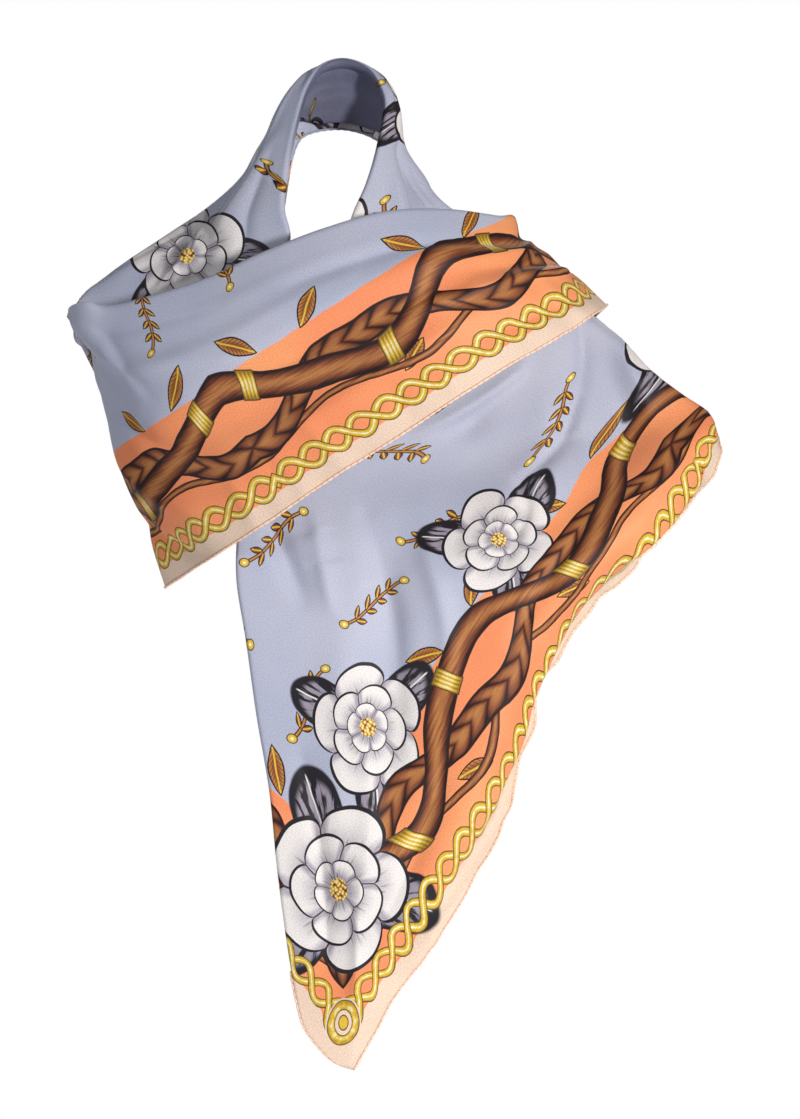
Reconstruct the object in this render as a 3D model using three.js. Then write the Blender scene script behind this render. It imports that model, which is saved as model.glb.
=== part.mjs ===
// A silk square scarf, folded once along its diagonal and worn: it stands round the back of the
// neck, hangs over both shoulders, drops one end down the front and crosses the other over it.
// Millimetres, +Z up, the front faces -Y. The origin is the inner face of the band at the nape.
import * as THREE from "three";

// Driving sizes.
const wall = 2; // thickness of the cloth wall
const seamGap = 0.3; // clearance between neighbouring stretches
const hemGap = 0.4; // clearance between a hem roll and its wall
const stationStep = 38; // longest step between two sections, measured on the cloth
const bandStep = 20; // the same along the gathered neck band
const sideSteps = 7; // steps from the hem to the ridge, and again from there to the fold
const turnSteps = 3; // steps round the diagonal fold
const underSteps = 4; // steps along the layer that lies under it
const hemRadius = 1.6; // rolled hem
const hemSides = 6;
const bodyCentre = new THREE.Vector3(0, -60, -90); // the middle of the hollow that the cloth wraps

// One row a section, from the hem over the outermost ridge to the diagonal fold. The puffs are how
// far the cloth bellies out between them. The second layer lies a gap inside the first one, and
// reaches back from the fold over a share of the section.
const columns = ["hem", "ridge", "fold", "frontPuff", "backPuff", "gap", "under"];

const hangingEnd = [
  ["tip", [15, -150, -939], [10, -150.5, -938], [4, -150, -936], 0, 0, 3.4, 0.1],
  ["corner_1", [22, -150, -926], [12, -151, -926], [-8, -149, -927], 1, 0, 3.4, 0.1],
  ["corner_2", [36, -148, -902], [19, -153, -900], [-29, -146, -902], 3, 0, 3.4, 0.1],
  ["corner_3", [50, -150, -874], [27, -156, -871], [-37, -143, -876], 4, 0, 4, 0.1],
  ["corner_4", [74, -149, -843], [44, -158, -841], [-42, -142, -845], 6, 0, 7, 0.16],
  ["end_1", [109, -146, -789], [66, -161, -789], [-48, -143, -802], 8, 0, 8, 0.34],
  ["end_2", [153, -138, -718], [106, -164, -722], [-55, -146, -744], 9, 2, 8, 0.42],
  ["end_3", [180, -112, -634], [144, -164, -638], [-62, -150, -672], 8, 5, 8, 0.46],
  ["end_4", [209, -112, -552], [174, -168, -557], [-74, -154, -600], 6, 5, 8, 0.48],
  ["end_5", [269, -112, -473], [226, -166, -478], [-84, -157, -528], 6, 4, 8, 0.48],
  ["end_6", [321, -96, -422], [284, -150, -422], [-93, -153, -470], 12, 4, 8, 0.48],
];
const rightShoulder = [
  ["arm_0", [370, -64, -344], [346, -104, -348], [-92, -147, -422], 24, 2, 8, 0.46],
  ["arm_1", [338, -8, -322], [350, -54, -306], [-88, -146, -374], 22, 4, 8, 0.4],
  ["arm_2", [280, 22, -309], [306, -50, -268], [-75, -140, -322], 30, 8, 8, 0.34],
  ["arm_3", [199, 38, -271], [262, -46, -220], [-48, -136, -252], 34, 8, 8, 0.3],
  ["shoulder_1", [136, 42, -221], [205, -44, -186], [-15, -130, -187], 34, 8, 8, 0.22],
  ["shoulder_2", [96, 40, -171], [148, -44, -144], [10, -120, -142], 26, 6, 8, 0.2],
  ["neck_1", [77, 34, -132], [106, -46, -111], [22, -112, -111], 16, 4, 8, 0.24],
];
const neckBand = [
  ["neck_2", [66, 26, -101], [79, -48, -79], [34, -92, -81], 7, 3, 8, 0.28],
  ["neck_3", [57, 16, -75], [63, -48, -51], [42, -74, -52], 4, 3, 8, 0.34],
  ["nape_1", [52, 8, -58], [60, -38, -16], [49, -48, -14], 1, 3, 8, 0.7],
  ["nape_2", [43, 8, -46], [54, -23, 6], [45, -33, 8], 1, 2, 8, 0.9],
  ["nape_2b", [26, 10, -36], [38, -5, 24], [31, -15, 28], 1, 2, 8, 0.95],
  ["nape_3", [4, 10, -31], [5, 4.3, 32], [5, -5, 37], 1, 2, 8, 0.96],
  ["nape_3b", [-17, 11, -32], [-27, -1, 25], [-19, -12, 30], 1, 2, 8, 0.95],
  ["nape_4", [-33, 12, -37], [-46, -14, 8], [-33, -26, 10], 1, 3, 8, 0.85],
  ["nape_5", [-41, 12, -46], [-61, -28, -16], [-41, -45, -14], 2, 4, 8, 0.6],
  ["neck_4", [-47, 19, -65], [-76, -43, -52], [-49, -71, -48], 4, 5, 8, 0.34],
];
const leftShoulder = [
  ["neck_5", [-53, 32, -96], [-94, -42, -82], [-54, -90, -79], 10, 8, 8, 0.26],
  ["neck_6", [-60, 38, -142], [-126, -40, -111], [-57, -106, -112], 16, 10, 8, 0.2],
  ["shoulder_3", [-73, 42, -206], [-167, -38, -136], [-52, -112, -150], 24, 10, 6, 0.12],
  ["shoulder_4", [-89, 40, -283], [-205, -40, -159], [-96, -108, -188], 26, 12, 4, 0.06],
  ["arm_4", [-111, 28, -360], [-234, -44, -181], [-152, -98, -213], 22, 14, 4, 0.05],
  ["arm_5", [-137, 2, -424], [-252, -50, -199], [-210, -74, -229], 10, 12, 4, 0.04],
  ["arm_6", [-159, -30, -467], [-260, -56, -212], [-249, -46, -221], 0, -5, 4.8, 0.02],
];
const crossFront = [
  ["front_0", [-168, -58, -477], [-262, -67, -217], [-261, -75, -210], 0, -6, 4.8, 0.02],
  ["front_1", [-150, -100, -466], [-249, -92, -228], [-246, -96, -205], 0, 4, 5, 0.05],
  ["front_2", [-118, -152, -446], [-216, -118, -238], [-222, -106, -210], 0, 8, 12, 0.16],
  ["front_3", [-65, -184, -413], [-169, -142, -229], [-180, -125, -201], 0, 8, 14, 0.26],
  ["front_4", [-8, -194, -374], [-114, -160, -213], [-126, -140, -184], 0, 8, 14, 0.3],
  ["front_5", [50, -200, -338], [-60, -170, -188], [-72, -152, -160], 0, 8, 14, 0.3],
  ["front_6", [108, -201, -300], [0, -172, -164], [-12, -156, -137], 0, 8, 14, 0.3],
  ["front_7", [160, -193, -267], [61, -164, -145], [50, -150, -120], 0, 8, 14, 0.3],
  ["front_8", [212, -170, -237], [116, -140, -140], [108, -124, -117], 0, 8, 14, 0.3],
  ["front_9", [250, -128, -212], [163, -100, -144], [156, -88, -122], 0, 8, 12, 0.28],
];
const thrownEnd = [
  ["back_1", [258, -62, -205], [178, -52, -142], [172, -48, -122], 0, 6, 12, 0.24],
  ["back_2", [244, 4, -219], [172, 4, -150], [158, 0, -133], 0, 6, 12, 0.22],
  ["back_3", [221, 50, -252], [163, 48, -171], [146, 44, -146], 0, 6, 10, 0.2],
  ["back_4", [194, 64, -290], [152, 64, -216], [134, 60, -194], 0, 4, 8, 0.16],
  ["back_5", [173, 62, -321], [156, 64, -296], [146, 60, -286], 0, 2, 5, 0.1],
  ["back_6", [165, 60, -333], [160, 60, -328], [154, 60, -322], 0, 0, 3.4, 0.1],
];

const stretches = [
  { name: "hanging_end", rows: hangingEnd, colour: 0x8f98ad },
  { name: "right_shoulder", rows: rightShoulder, colour: 0x8a93a8 },
  { name: "neck_band", rows: neckBand, colour: 0x99a1b4 },
  { name: "left_shoulder", rows: leftShoulder, colour: 0x9aa3b8 },
  { name: "cross_front", rows: crossFront, colour: 0xd98a68 },
  { name: "thrown_end", rows: thrownEnd, colour: 0xe2b093 },
];
const hemColour = 0xe9cbb0;
const allRows = stretches.flatMap((stretch) => stretch.rows);
const rowNumber = (name) => allRows.findIndex((row) => row[0] === name);

// The largest folds: soft ridges (a depth above 0) and troughs, each along a line from one row and
// share of its section (0 at the hem, 0.5 at the ridge, 1 at the diagonal fold) to another.
const foldColumns = ["fromRow", "fromShare", "toRow", "toShare", "width", "depth"];
const folds = [
  ["arm_3", 0.56, "end_6", 0.66, 26, -9],
  ["arm_2", 0.66, "end_5", 0.74, 30, 8],
  ["arm_0", 0.83, "end_3", 0.75, 24, -7],
  ["end_5", 0.86, "end_2", 0.83, 22, 6],
  ["end_4", 0.42, "end_2", 0.47, 18, 5],
  ["shoulder_1", 0.62, "neck_3", 0.62, 12, -6],
  ["shoulder_2", 0.4, "neck_3", 0.4, 12, 5],
  ["shoulder_3", 0.7, "neck_4", 0.72, 13, 5],
  ["shoulder_4", 0.62, "neck_5", 0.6, 16, -7],
  ["arm_4", 0.3, "neck_6", 0.3, 22, 9],
  ["arm_5", 0.18, "shoulder_3", 0.14, 22, -8],
  ["arm_5", 0.41, "front_1", 0.42, 20, -13],
  ["arm_5", 0.2, "front_1", 0.2, 40, 7],
  ["front_1", 0.44, "front_2", 0.33, 16, -8],
  ["front_3", 0.36, "front_8", 0.4, 18, 6],
  ["front_2", 0.24, "front_6", 0.22, 24, -7],
  ["front_7", 0.34, "back_1", 0.3, 14, -6],
  ["back_1", 0.36, "back_4", 0.34, 14, 7],
  ["back_1", 0.18, "back_3", 0.16, 16, -7],
];
const foldLineSteps = 14;
const foldEnd = 0.08; // share of a fold line, at each end, over which it has already begun
const foldFade = 0.6; // how bluntly a fold fades towards its ends

// A column's value between two rows, on a smooth curve through the rows.
function smooth(before, from, to, after, t) {
  const t2 = t * t;
  const t3 = t2 * t;
  return 0.5 * (2 * from + (to - before) * t + (2 * before - 5 * from + 4 * to - after) * t2
    + (3 * from - before - 3 * to + after) * t3);
}
function valueAt(column, place) {
  const last = allRows.length - 1;
  const k = Math.min(Math.floor(place), last - 1);
  const t = place - k;
  const pick = (n) => allRows[Math.max(0, Math.min(last, n))][1 + columns.indexOf(column)];
  const [a, b, c, d] = [pick(k - 1), pick(k), pick(k + 1), pick(k + 2)];
  if (Array.isArray(b)) {
    return new THREE.Vector3(...b.map((_, n) => smooth(a[n], b[n], c[n], d[n], t)));
  }
  return b + (c - b) * t;
}

// The middle of a chord, pushed away from the body by a puff.
function belly(from, to, puff) {
  const along = to.clone().sub(from).normalize();
  const middle = from.clone().lerp(to, 0.5);
  const out = middle.clone().sub(bodyCentre);
  out.addScaledVector(along, -out.dot(along)).normalize();
  return middle.addScaledVector(out, puff);
}

// The outer layer of one section: points from the hem over the ridge to the diagonal fold.
function outerPoints(place) {
  const hem = valueAt("hem", place);
  const ridge = valueAt("ridge", place);
  const fold = valueAt("fold", place);
  const back = belly(hem, ridge, valueAt("backPuff", place));
  const front = belly(ridge, fold, valueAt("frontPuff", place));
  const curve = new THREE.CatmullRomCurve3([hem, back, ridge, front, fold], false, "centripetal");
  return curve.getPoints(2 * sideSteps);
}

// The places in the table of rows where a section is worked out, close enough together. Each
// stretch starts on one of its own rows.
function sectionPlaces() {
  const places = [];
  allRows.slice(0, -1).forEach((row, k) => {
    const reach = Math.max(...["hem", "ridge", "fold"].map(
      (column) => valueAt(column, k).distanceTo(valueAt(column, k + 1)),
    ));
    const step = neckBand.includes(row) ? bandStep : stationStep;
    const count = Math.max(1, Math.ceil(reach / step));
    for (let n = 0; n < count; n += 1) {
      places.push(k + n / count);
    }
  });
  places.push(allRows.length - 1);
  return places;
}

// A point of the outer layer at a place and a share of its section.
function outerPoint(place, share) {
  const points = outerPoints(place);
  const spot = share * 2 * sideSteps;
  const k = Math.min(Math.floor(spot), points.length - 2);
  return points[k].clone().lerp(points[k + 1], spot - k);
}

// Every fold as its line in space, and the places that it lies between.
const foldLines = folds.map((fold) => {
  const of = (column) => fold[foldColumns.indexOf(column)];
  const [from, to] = [rowNumber(of("fromRow")), rowNumber(of("toRow"))];
  const line = [];
  for (let n = 0; n <= foldLineSteps; n += 1) {
    const t = n / foldLineSteps;
    const share = of("fromShare") + (of("toShare") - of("fromShare")) * t;
    line.push({ t, point: outerPoint(from + (to - from) * t, share) });
  }
  const [first, last] = [Math.min(from, to) - 1, Math.max(from, to) + 1];
  return { line, first, last, width: of("width"), depth: of("depth") };
});

// How far the folds lift a point of the outer layer. A fold fades out at its two ends.
function foldLift(point, place) {
  let lift = 0;
  for (const { line, first, last, width, depth } of foldLines) {
    if (place < first || place > last) {
      continue;
    }
    let nearest = { away: Infinity, t: 0 };
    for (const spot of line) {
      const away = spot.point.distanceTo(point);
      if (away < nearest.away) {
        nearest = { away, t: spot.t };
      }
    }
    const fade = Math.sin(Math.PI * (foldEnd + (1 - 2 * foldEnd) * nearest.t)) ** foldFade;
    lift += depth * fade * Math.exp(-((nearest.away / width) ** 2));
  }
  return lift;
}

function gridNormals(grid) {
  const normals = grid.map((row) => row.map(() => new THREE.Vector3()));
  grid.forEach((row, j) => row.forEach((_, i) => {
    const along = grid[Math.min(j + 1, grid.length - 1)][i].clone()
      .sub(grid[Math.max(j - 1, 0)][i]);
    const across = row[Math.min(i + 1, row.length - 1)].clone().sub(row[Math.max(i - 1, 0)]);
    normals[j][i].crossVectors(along, across).normalize();
  }));
  return normals;
}

// The whole scarf as rows of points: the outer layer, the turn at the diagonal fold and the layer
// under it.
function scarfGrid(places) {
  const plain = places.map(outerPoints);
  const plainNormals = gridNormals(plain);
  const outer = plain.map((row, j) => row.map((point, i) => (
    point.clone().addScaledVector(plainNormals[j][i], foldLift(point, places[j]))
  )));
  const normals = gridNormals(outer);
  return outer.map((row, j) => {
    const gap = valueAt("gap", places[j]);
    const under = valueAt("under", places[j]);
    const last = row.length - 1;
    const end = row[last];
    const tangent = end.clone().sub(row[last - 1]).normalize();
    const inward = normals[j][last].clone().negate();
    const points = row.map((point) => point.clone());
    for (let n = 1; n <= turnSteps; n += 1) {
      const angle = Math.PI * n / turnSteps;
      points.push(end.clone().addScaledVector(inward, gap * (1 - Math.cos(angle)) / 2)
        .addScaledVector(tangent, gap * Math.sin(angle) / 2));
    }
    for (let n = 1; n <= underSteps; n += 1) {
      const spot = last - under * last * n / underSteps;
      const k = Math.min(Math.floor(spot), last - 1);
      const share = spot - k;
      const normal = normals[j][k].clone().lerp(normals[j][k + 1], share).normalize();
      points.push(row[k].clone().lerp(row[k + 1], share).addScaledVector(normal, -gap));
    }
    return points;
  });
}

function solidMesh(name, positions, index, colour) {
  const geometry = new THREE.BufferGeometry();
  geometry.setAttribute("position", new THREE.Float32BufferAttribute(positions, 3));
  geometry.setIndex(index);
  geometry.computeVertexNormals();
  const silk = new THREE.MeshStandardMaterial({ color: colour, roughness: 0.45, metalness: 0 });
  const mesh = new THREE.Mesh(geometry, silk);
  mesh.name = name;
  return mesh;
}

// A closed wall of even thickness on rows of points and their normals.
function wallMesh(name, grid, normals, colour) {
  const rows = grid.length;
  const cols = grid[0].length;
  const positions = [];
  for (const side of [0.5, -0.5]) {
    grid.forEach((row, j) => row.forEach((point, i) => {
      positions.push(...point.clone().addScaledVector(normals[j][i], side * wall).toArray());
    }));
  }
  const outside = (j, i) => j * cols + i;
  const inside = (j, i) => rows * cols + j * cols + i;
  const index = [];
  const quad = (a, b, c, d) => index.push(a, b, c, a, c, d);
  const lastRow = rows - 1;
  const lastCol = cols - 1;
  for (let j = 0; j < lastRow; j += 1) {
    for (let i = 0; i < lastCol; i += 1) {
      quad(outside(j, i), outside(j + 1, i), outside(j + 1, i + 1), outside(j, i + 1));
      quad(inside(j, i), inside(j, i + 1), inside(j + 1, i + 1), inside(j + 1, i));
    }
    quad(outside(j, 0), inside(j, 0), inside(j + 1, 0), outside(j + 1, 0));
    quad(outside(j, lastCol), outside(j + 1, lastCol), inside(j + 1, lastCol), inside(j, lastCol));
  }
  for (let i = 0; i < lastCol; i += 1) {
    quad(outside(0, i), outside(0, i + 1), inside(0, i + 1), inside(0, i));
    quad(outside(lastRow, i), inside(lastRow, i), inside(lastRow, i + 1), outside(lastRow, i + 1));
  }
  return solidMesh(name, positions, index, colour);
}

// The rolled hem of a stretch: a thin round bar along its hem, a seam gap outside the wall's edge.
function hemMesh(name, grid, normals) {
  const positions = [];
  const index = [];
  grid.forEach((row, j) => {
    const out = row[0].clone().sub(row[1]).normalize();
    const centre = row[0].clone().addScaledVector(out, hemRadius + hemGap);
    for (let n = 0; n < hemSides; n += 1) {
      const angle = 2 * Math.PI * n / hemSides;
      positions.push(...centre.clone().addScaledVector(out, hemRadius * Math.cos(angle))
        .addScaledVector(normals[j][0], hemRadius * Math.sin(angle)).toArray());
    }
  });
  const at = (j, n) => j * hemSides + n % hemSides;
  for (let j = 0; j < grid.length - 1; j += 1) {
    for (let n = 0; n < hemSides; n += 1) {
      index.push(at(j, n), at(j + 1, n), at(j + 1, n + 1));
      index.push(at(j, n), at(j + 1, n + 1), at(j, n + 1));
    }
  }
  const e = grid.length - 1;
  for (let n = 1; n < hemSides - 1; n += 1) {
    index.push(at(0, 0), at(0, n), at(0, n + 1), at(e, 0), at(e, n + 1), at(e, n));
  }
  return solidMesh(name, positions, index, hemColour);
}

// The last row of a stretch stops a seam gap short of the next one.
function shortened(grid) {
  const last = grid.length - 1;
  return grid.map((row, j) => row.map((point, i) => {
    if (j < last) {
      return point;
    }
    const back = grid[last - 1][i].clone().sub(point).normalize();
    return point.clone().addScaledVector(back, seamGap);
  }));
}

const group = new THREE.Group();
group.name = "scarf";
const places = sectionPlaces();
const whole = scarfGrid(places);
const wholeNormals = gridNormals(whole);
for (const stretch of stretches) {
  const first = rowNumber(stretch.rows[0][0]);
  const next = Math.min(first + stretch.rows.length, allRows.length - 1);
  const from = places.indexOf(first);
  const to = places.indexOf(next) + 1;
  const rows = shortened(whole.slice(from, to));
  const normals = wholeNormals.slice(from, to);
  group.add(wallMesh(stretch.name, rows, normals, stretch.colour));
  group.add(hemMesh(`${stretch.name}_hem`, rows, normals));
}

export default group;
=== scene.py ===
import math

import bmesh
import bpy
import numpy as np
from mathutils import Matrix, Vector


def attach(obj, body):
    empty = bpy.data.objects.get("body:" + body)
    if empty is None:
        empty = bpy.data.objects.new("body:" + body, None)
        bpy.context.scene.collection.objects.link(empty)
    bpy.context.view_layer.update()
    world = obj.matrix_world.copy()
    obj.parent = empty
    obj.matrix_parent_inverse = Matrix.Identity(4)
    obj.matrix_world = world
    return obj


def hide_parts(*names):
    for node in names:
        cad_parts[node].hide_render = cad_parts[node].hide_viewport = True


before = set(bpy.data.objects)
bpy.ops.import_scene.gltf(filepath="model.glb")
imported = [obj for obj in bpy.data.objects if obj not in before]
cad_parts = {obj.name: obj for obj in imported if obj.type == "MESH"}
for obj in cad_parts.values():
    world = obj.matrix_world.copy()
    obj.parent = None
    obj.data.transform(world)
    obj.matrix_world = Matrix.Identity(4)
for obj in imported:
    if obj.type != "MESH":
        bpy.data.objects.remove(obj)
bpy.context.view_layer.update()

# ------------------------------------------------------------------ the silk square, in two stretches
# The real piece is one square of silk twill, 1.35 m a side and 0.12 mm thick, folded on its diagonal.
# It is laid as two thin shells that meet at the left edge of the chest: the wrap, which hangs in front
# and goes over the shoulders and round the neck, and the end that crosses over it.
side = 1.35

# Each row is one section across the worn square in millimetres, from the corner that hangs in front
# to the corner thrown over the shoulder: its hem, its outermost ridge and its diagonal fold, how far
# the cloth bellies out from hem to ridge and from ridge to fold, the gap to the layer behind and the
# share of the section that this layer covers.
worn_rows = [
    ("tip", (15, -150, -939), (10, -150.5, -938), (4, -150, -936), 0, 0, 3.4, 0.1),
    ("corner_1", (22, -150, -926), (12, -151, -926), (-8, -149, -927), 1, 0, 3.4, 0.1),
    ("corner_2", (36, -148, -902), (19, -153, -900), (-29, -146, -902), 3, 0, 3.4, 0.1),
    ("corner_3", (50, -150, -874), (27, -156, -871), (-37, -143, -876), 4, 0, 4, 0.1),
    ("corner_4", (74, -149, -843), (44, -158, -841), (-42, -142, -845), 6, 0, 7, 0.16),
    ("end_1", (109, -146, -789), (66, -161, -789), (-48, -143, -802), 8, 0, 8, 0.34),
    ("end_2", (153, -138, -718), (106, -164, -722), (-55, -146, -744), 9, 2, 8, 0.42),
    ("end_3", (180, -112, -634), (144, -164, -638), (-62, -150, -672), 8, 5, 8, 0.46),
    ("end_4", (209, -112, -552), (174, -168, -557), (-74, -154, -600), 6, 5, 8, 0.48),
    ("end_5", (269, -112, -473), (226, -166, -478), (-84, -157, -528), 6, 4, 8, 0.48),
    ("end_6", (321, -96, -422), (284, -150, -422), (-93, -153, -470), 12, 4, 8, 0.48),
    ("arm_0", (370, -64, -344), (346, -104, -348), (-92, -147, -422), 24, 2, 8, 0.46),
    ("arm_1", (338, -8, -322), (350, -54, -306), (-88, -146, -374), 22, 4, 8, 0.4),
    ("arm_2", (280, 22, -309), (306, -50, -268), (-75, -140, -322), 30, 8, 8, 0.34),
    ("arm_3", (199, 38, -271), (262, -46, -220), (-48, -136, -252), 34, 8, 8, 0.3),
    ("shoulder_1", (136, 42, -221), (205, -44, -186), (-15, -130, -187), 34, 8, 8, 0.22),
    ("shoulder_2", (96, 40, -171), (148, -44, -144), (10, -120, -142), 26, 6, 8, 0.2),
    ("neck_1", (77, 34, -132), (106, -46, -111), (22, -112, -111), 16, 4, 8, 0.24),
    ("neck_2", (66, 26, -101), (79, -48, -79), (34, -92, -81), 7, 3, 8, 0.28),
    ("neck_3", (57, 16, -75), (63, -48, -51), (42, -74, -52), 4, 3, 8, 0.34),
    ("nape_1", (52, 8, -58), (60, -38, -16), (49, -48, -14), 1, 3, 8, 0.7),
    ("nape_2", (43, 8, -46), (54, -23, 6), (45, -33, 8), 1, 2, 8, 0.9),
    ("nape_2b", (26, 10, -36), (38, -5, 24), (31, -15, 28), 1, 2, 8, 0.95),
    ("nape_3", (4, 10, -31), (5, 4.3, 32), (5, -5, 37), 1, 2, 8, 0.96),
    ("nape_3b", (-17, 11, -32), (-27, -1, 25), (-19, -12, 30), 1, 2, 8, 0.95),
    ("nape_4", (-33, 12, -37), (-46, -14, 8), (-33, -26, 10), 1, 3, 8, 0.85),
    ("nape_5", (-41, 12, -46), (-61, -28, -16), (-41, -45, -14), 2, 4, 8, 0.6),
    ("neck_4", (-47, 19, -65), (-76, -43, -52), (-49, -71, -48), 4, 5, 8, 0.34),
    ("neck_5", (-53, 32, -96), (-94, -42, -82), (-54, -90, -79), 10, 8, 8, 0.26),
    ("neck_6", (-60, 38, -142), (-126, -40, -111), (-57, -106, -112), 16, 10, 8, 0.2),
    ("shoulder_3", (-73, 42, -206), (-167, -38, -136), (-52, -112, -150), 24, 10, 6, 0.12),
    ("shoulder_4", (-89, 40, -283), (-205, -40, -159), (-96, -108, -188), 26, 12, 4, 0.06),
    ("arm_4", (-111, 28, -360), (-234, -44, -181), (-152, -98, -213), 22, 14, 4, 0.05),
    ("arm_5", (-137, 2, -424), (-252, -50, -199), (-210, -74, -229), 10, 12, 4, 0.04),
    ("arm_6", (-159, -30, -467), (-260, -56, -212), (-249, -46, -221), 0, -5, 4.8, 0.02),
    ("front_0", (-168, -58, -477), (-262, -67, -217), (-261, -75, -210), 0, -6, 4.8, 0.02),
    ("front_1", (-150, -100, -466), (-249, -92, -228), (-246, -96, -205), 0, 4, 5, 0.05),
    ("front_2", (-118, -152, -446), (-216, -118, -238), (-222, -106, -210), 0, 8, 12, 0.16),
    ("front_3", (-65, -184, -413), (-169, -142, -229), (-180, -125, -201), 0, 8, 14, 0.26),
    ("front_4", (-8, -194, -374), (-114, -160, -213), (-126, -140, -184), 0, 8, 14, 0.3),
    ("front_5", (50, -200, -338), (-60, -170, -188), (-72, -152, -160), 0, 8, 14, 0.3),
    ("front_6", (108, -201, -300), (0, -172, -164), (-12, -156, -137), 0, 8, 14, 0.3),
    ("front_7", (160, -193, -267), (61, -164, -145), (50, -150, -120), 0, 8, 14, 0.3),
    ("front_8", (212, -170, -237), (116, -140, -140), (108, -124, -117), 0, 8, 14, 0.3),
    ("front_9", (250, -128, -212), (163, -100, -144), (156, -88, -122), 0, 8, 12, 0.28),
    ("back_1", (258, -62, -205), (178, -52, -142), (172, -48, -122), 0, 6, 12, 0.24),
    ("back_2", (244, 4, -219), (172, 4, -150), (158, 0, -133), 0, 6, 12, 0.22),
    ("back_3", (221, 50, -252), (163, 48, -171), (146, 44, -146), 0, 6, 10, 0.2),
    ("back_4", (194, 64, -290), (152, 64, -216), (134, 60, -194), 0, 4, 8, 0.16),
    ("back_5", (173, 62, -321), (156, 64, -296), (146, 60, -286), 0, 2, 5, 0.1),
    ("back_6", (165, 60, -333), (160, 60, -328), (154, 60, -322), 0, 0, 3.4, 0.1),
]
row_at = {row[0]: n for n, row in enumerate(worn_rows)}
last_row = len(worn_rows) - 1
body_centre = np.array([0.0, -60.0, -90.0])
hem_rows, ridge_rows, fold_rows = (np.array([row[n] for row in worn_rows], float) for n in (1, 2, 3))
front_puffs, back_puffs, gaps, unders = (np.array([row[n] for row in worn_rows], float)
                                         for n in (4, 5, 6, 7))


def along_rows(rows, place):
    """Points on a smooth curve through the rows, at places counted in rows."""
    k = np.minimum(place.astype(int), last_row - 1)
    t = (place - k)[..., None]
    a, b, c, d = (rows[np.clip(k + n, 0, last_row)] for n in (-1, 0, 1, 2))
    return 0.5 * (2 * b + (c - a) * t + (2 * a - 5 * b + 4 * c - d) * t ** 2
                  + (3 * b - a - 3 * c + d) * t ** 3)


def between_rows(values, place):
    return np.interp(place, np.arange(last_row + 1), values)


def unit(vectors):
    return vectors / np.maximum(np.linalg.norm(vectors, axis=-1, keepdims=True), 1e-9)


def belly(start, end, puff):
    """The middle of a chord, pushed away from the wearer by a puff."""
    along = unit(end - start)
    middle = (start + end) / 2
    out = middle - body_centre
    out = unit(out - (out * along).sum(-1, keepdims=True) * along)
    return middle + out * puff[..., None]


def plain_cloth(place, share):
    """Points of the cloth without its folds. Shares: 0 at the hem, 0.5 at the ridge, 1 at the fold."""
    hem, ridge, fold = (along_rows(rows, place) for rows in (hem_rows, ridge_rows, fold_rows))
    spots = [hem, belly(hem, ridge, between_rows(back_puffs, place)), ridge,
             belly(ridge, fold, between_rows(front_puffs, place)), fold]
    spots = np.stack([2 * spots[0] - spots[1], *spots, 2 * spots[4] - spots[3]], -2)
    segment = np.clip((share * 4).astype(int), 0, 3)
    t = (share * 4 - segment)[..., None]
    x0, x1, x2, x3 = (np.take_along_axis(spots, (segment + n)[..., None, None], -2)[..., 0, :]
                      for n in range(4))
    reach = [np.sqrt(np.linalg.norm(b - a, axis=-1, keepdims=True)) + 1e-6
             for a, b in ((x0, x1), (x1, x2), (x2, x3))]
    t1 = ((x1 - x0) / reach[0] - (x2 - x0) / (reach[0] + reach[1]) + (x2 - x1) / reach[1]) * reach[1]
    t2 = ((x2 - x1) / reach[1] - (x3 - x1) / (reach[1] + reach[2]) + (x3 - x2) / reach[2]) * reach[1]
    return (x1 + t1 * t + (3 * (x2 - x1) - 2 * t1 - t2) * t ** 2
            + (2 * (x1 - x2) + t1 + t2) * t ** 3)


def outward(place, share):
    """The direction straight out of the plain cloth."""
    step = 0.01
    along = (plain_cloth(np.minimum(place + step, last_row), share)
             - plain_cloth(np.maximum(place - step, 0), share))
    across = (plain_cloth(place, np.minimum(share + step, 1))
              - plain_cloth(place, np.maximum(share - step, 0)))
    return unit(np.cross(along, across))


# Folds and creases. Each runs from a row, how far on from it, and a share of the section, to another
# such spot, and has a width, a height (a trough is below 0) and how much steeper its one flank is.
main_folds = [
    ("arm_3", 0, 0.56, "end_6", 0, 0.66, 26, -9, 0), ("arm_2", 0, 0.66, "end_5", 0, 0.74, 30, 8, 0),
    ("arm_0", 0, 0.83, "end_3", 0, 0.75, 24, -7, 0), ("end_5", 0, 0.86, "end_2", 0, 0.83, 22, 6, 0),
    ("end_4", 0, 0.42, "end_2", 0, 0.47, 18, 5, 0), ("shoulder_1", 0, 0.62, "neck_3", 0, 0.62, 12, -6, 0),
    ("shoulder_2", 0, 0.4, "neck_3", 0, 0.4, 12, 5, 0), ("shoulder_3", 0, 0.7, "neck_4", 0, 0.72, 13, 5, 0),
    ("shoulder_4", 0, 0.62, "neck_5", 0, 0.6, 16, -7, 0), ("arm_4", 0, 0.3, "neck_6", 0, 0.3, 22, 9, 0),
    ("arm_5", 0, 0.18, "shoulder_3", 0, 0.14, 22, -8, 0),
    ("arm_5", 0, 0.41, "front_1", 0, 0.42, 20, -9, 0), ("arm_5", 0, 0.2, "front_1", 0, 0.2, 40, 7, 0),
    ("front_1", 0, 0.44, "front_2", 0, 0.33, 16, -5, 0), ("front_3", 0, 0.36, "front_8", 0, 0.4, 18, 6, 0),
    ("front_2", 0, 0.24, "front_6", 0, 0.22, 24, -7, 0), ("front_7", 0, 0.34, "back_1", 0, 0.3, 14, -6, 0),
    ("back_1", 0, 0.36, "back_4", 0, 0.34, 14, 7, 0), ("back_1", 0, 0.18, "back_3", 0, 0.16, 16, -7, 0),
]
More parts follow.
